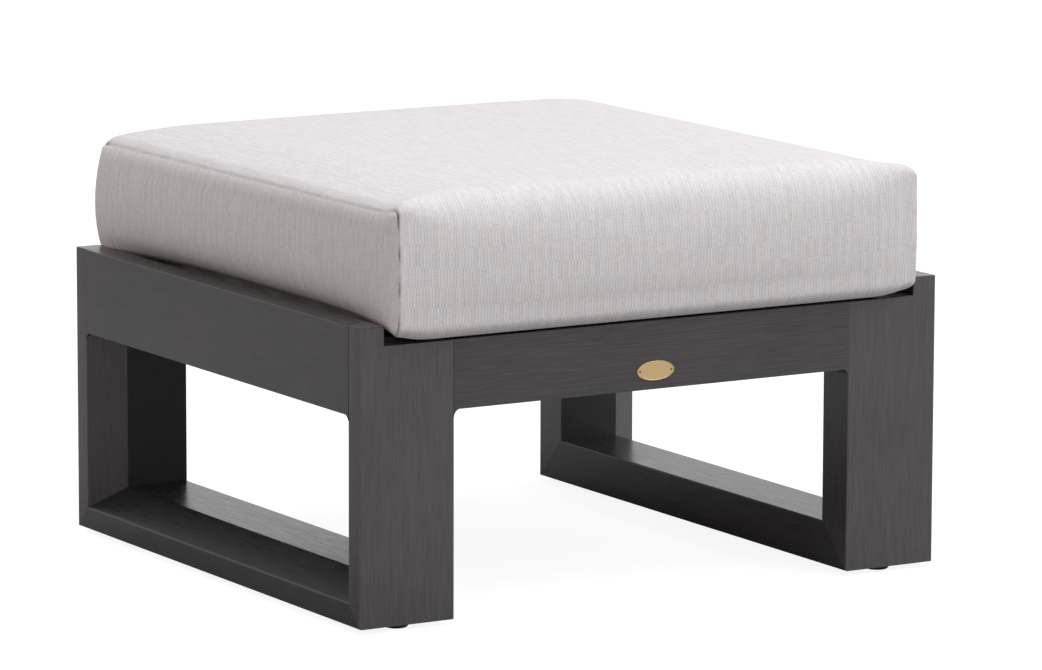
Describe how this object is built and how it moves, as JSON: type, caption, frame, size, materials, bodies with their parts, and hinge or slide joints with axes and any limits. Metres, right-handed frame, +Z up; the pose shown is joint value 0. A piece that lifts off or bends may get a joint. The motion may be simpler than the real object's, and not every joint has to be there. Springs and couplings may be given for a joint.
{
  "type": "outdoor ottoman footstool",
  "caption": "Low outdoor ottoman: a welded sled frame of bevelled brushed aluminium bars carries a thick loose box cushion on seat slats and stands on screw-in glides.",
  "frame": {"origin": "on the floor, under the middle of the whole stool with its cushion", "axes": "+Z up; +X to the right of someone who faces the front, along the aprons; -Y towards the front, where the oval plate is"},
  "size_m": [0.711, 0.6728, 0.4511],
  "materials": {
    "brushed_dark_aluminium": "brushed and coated dark charcoal, satin",
    "coated_deck_aluminium": "coated dark charcoal, matte",
    "black_nylon": "moulded, matte",
    "stainless_steel": "plain, satin",
    "oval_plate_brass": "satin",
    "woven_outdoor_fabric": "ribbed plain weave, light grey beige, matte",
    "cushion_foam": "open cell foam",
    "zip_tape": "woven tape with a nylon coil"
  },
  "bodies": {
    "frame": {"left_front_post": "brushed_dark_aluminium", "left_back_post": "brushed_dark_aluminium", "right_front_post": "brushed_dark_aluminium", "right_back_post": "brushed_dark_aluminium", "left_bottom_rail": "brushed_dark_aluminium", "right_bottom_rail": "brushed_dark_aluminium", "left_side_rail": "brushed_dark_aluminium", "right_side_rail": "brushed_dark_aluminium", "front_apron": "brushed_dark_aluminium", "back_apron": "brushed_dark_aluminium", "left_slat_ledge": "coated_deck_aluminium", "right_slat_ledge": "coated_deck_aluminium", "seat_slat_1": "coated_deck_aluminium", "seat_slat_2": "coated_deck_aluminium", "seat_slat_3": "coated_deck_aluminium", "seat_slat_4": "coated_deck_aluminium", "seat_slat_5": "coated_deck_aluminium", "seat_slat_6": "coated_deck_aluminium", "slat_screw_left_1": "stainless_steel", "slat_screw_left_2": "stainless_steel", "slat_screw_left_3": "stainless_steel", "slat_screw_left_4": "stainless_steel", "slat_screw_left_5": "stainless_steel", "slat_screw_left_6": "stainless_steel", "slat_screw_right_1": "stainless_steel", "slat_screw_right_2": "stainless_steel", "slat_screw_right_3": "stainless_steel", "slat_screw_right_4": "stainless_steel", "slat_screw_right_5": "stainless_steel", "slat_screw_right_6": "stainless_steel", "glide_nut_front_left": "stainless_steel", "glide_nut_front_right": "stainless_steel", "glide_nut_back_left": "stainless_steel", "glide_nut_back_right": "stainless_steel", "oval_plate": "oval_plate_brass", "plate_pin_left": "oval_plate_brass", "plate_pin_right": "oval_plate_brass"},
    "front_left_glide": {"glide_pad_front_left": "black_nylon", "glide_stud_front_left": "stainless_steel"},
    "front_right_glide": {"glide_pad_front_right": "black_nylon", "glide_stud_front_right": "stainless_steel"},
    "back_left_glide": {"glide_pad_back_left": "black_nylon", "glide_stud_back_left": "stainless_steel"},
    "back_right_glide": {"glide_pad_back_right": "black_nylon", "glide_stud_back_right": "stainless_steel"},
    "cushion": {"cushion_wrap": "woven_outdoor_fabric", "cushion_left_panel": "woven_outdoor_fabric", "cushion_right_panel": "woven_outdoor_fabric", "cushion_foam": "cushion_foam", "zip_tape": "zip_tape"},
    "slider": {"zip_slider": "stainless_steel"},
    "pull": {"zip_pull": "stainless_steel"}
  },
  "joints": [
    {"name": "cushion_lift", "type": "slide", "parent": "frame", "child": "cushion", "axis": [0, 0, 1], "range_m": [0, 0.2]},
    {"name": "zip_run", "type": "slide", "parent": "cushion", "child": "slider", "axis": [-1, 0, 0], "range_m": [0, 0.472]},
    {"name": "pull_swing", "type": "hinge", "parent": "slider", "child": "pull", "pos_m": [0.236, 0.3343, 0.3623], "axis": [1, 0, 0], "range_deg": [0, 150]},
    {"name": "front_left_glide_screw", "type": "slide", "parent": "frame", "child": "front_left_glide", "axis": [0, 0, -1], "range_m": [0, 0.008]},
    {"name": "front_right_glide_screw", "type": "slide", "parent": "frame", "child": "front_right_glide", "axis": [0, 0, -1], "range_m": [0, 0.008]},
    {"name": "back_left_glide_screw", "type": "slide", "parent": "frame", "child": "back_left_glide", "axis": [0, 0, -1], "range_m": [0, 0.008]},
    {"name": "back_right_glide_screw", "type": "slide", "parent": "frame", "child": "back_right_glide", "axis": [0, 0, -1], "range_m": [0, 0.008]}
  ]
}
